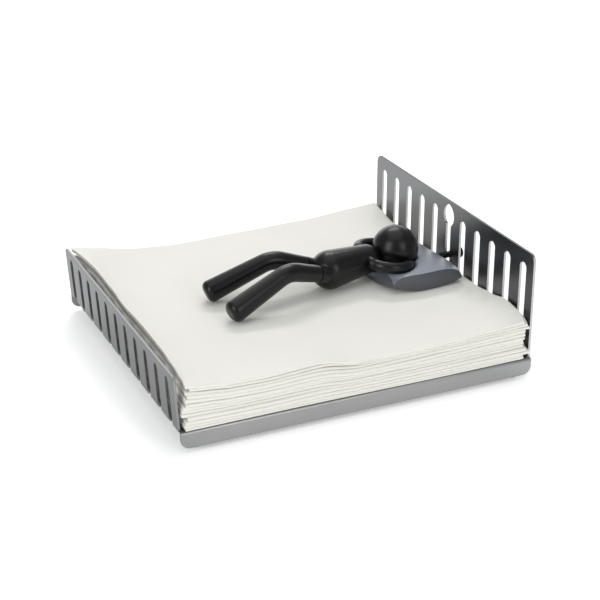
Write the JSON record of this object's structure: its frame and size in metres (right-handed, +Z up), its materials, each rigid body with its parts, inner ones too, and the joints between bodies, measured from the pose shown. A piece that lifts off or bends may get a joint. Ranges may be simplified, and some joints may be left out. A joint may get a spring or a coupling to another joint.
{
  "type": "napkin holder",
  "caption": "Flat bed-shaped napkin holder: a bent steel tray with slotted boards and a weighted lying figure whose pin rides in the headboard's keyhole slot to hold the stack down.",
  "frame": {"origin": "on the surface that the holder stands on, under the middle of the whole object's box", "axes": "+X along the bed from the footboard to the headboard, +Y across it to the back, away from the open side in front, +Z up"},
  "size_m": [0.1782, 0.1564, 0.059],
  "materials": {
    "steel": "satin brushed, bright cut edges",
    "bumper": "clear, soft satin",
    "napkin_paper": "matte tissue paper",
    "pin_black": "satin",
    "pillow_grey": "satin",
    "figure_black": "satin black coat"
  },
  "bodies": {
    "frame": {"bed_frame": "steel", "foot_front_left": "bumper", "foot_front_right": "bumper", "foot_back_left": "bumper", "foot_back_right": "bumper", "napkin_01": "napkin_paper", "napkin_02": "napkin_paper", "napkin_03": "napkin_paper", "napkin_04": "napkin_paper", "napkin_05": "napkin_paper", "napkin_06": "napkin_paper", "napkin_07": "napkin_paper", "napkin_08": "napkin_paper", "napkin_09": "napkin_paper", "napkin_10": "napkin_paper", "napkin_11": "napkin_paper", "napkin_12": "napkin_paper"},
    "top_napkin": {"top_napkin": "napkin_paper"},
    "slider": {"washer": "pin_black"},
    "sleeper": {"guide_pin": "pin_black", "pillow": "pillow_grey", "torso": "figure_black", "head": "figure_black", "left_arm": "figure_black", "right_arm": "figure_black", "left_leg": "figure_black", "right_leg": "figure_black"}
  },
  "joints": [
    {"name": "napkin_pull", "type": "slide", "parent": "frame", "child": "top_napkin", "axis": [0, -1, 0], "range_m": [0, 0.155]},
    {"name": "sleeper_slide", "type": "slide", "parent": "frame", "child": "slider", "axis": [0, 0, 1], "range_m": [0, 0.02]},
    {"name": "sleeper_tilt", "type": "hinge", "parent": "slider", "child": "sleeper", "pos_m": [0.08573, 0, 0.03116], "axis": [0, 1, 0], "range_deg": [0, 20]}
  ]
}
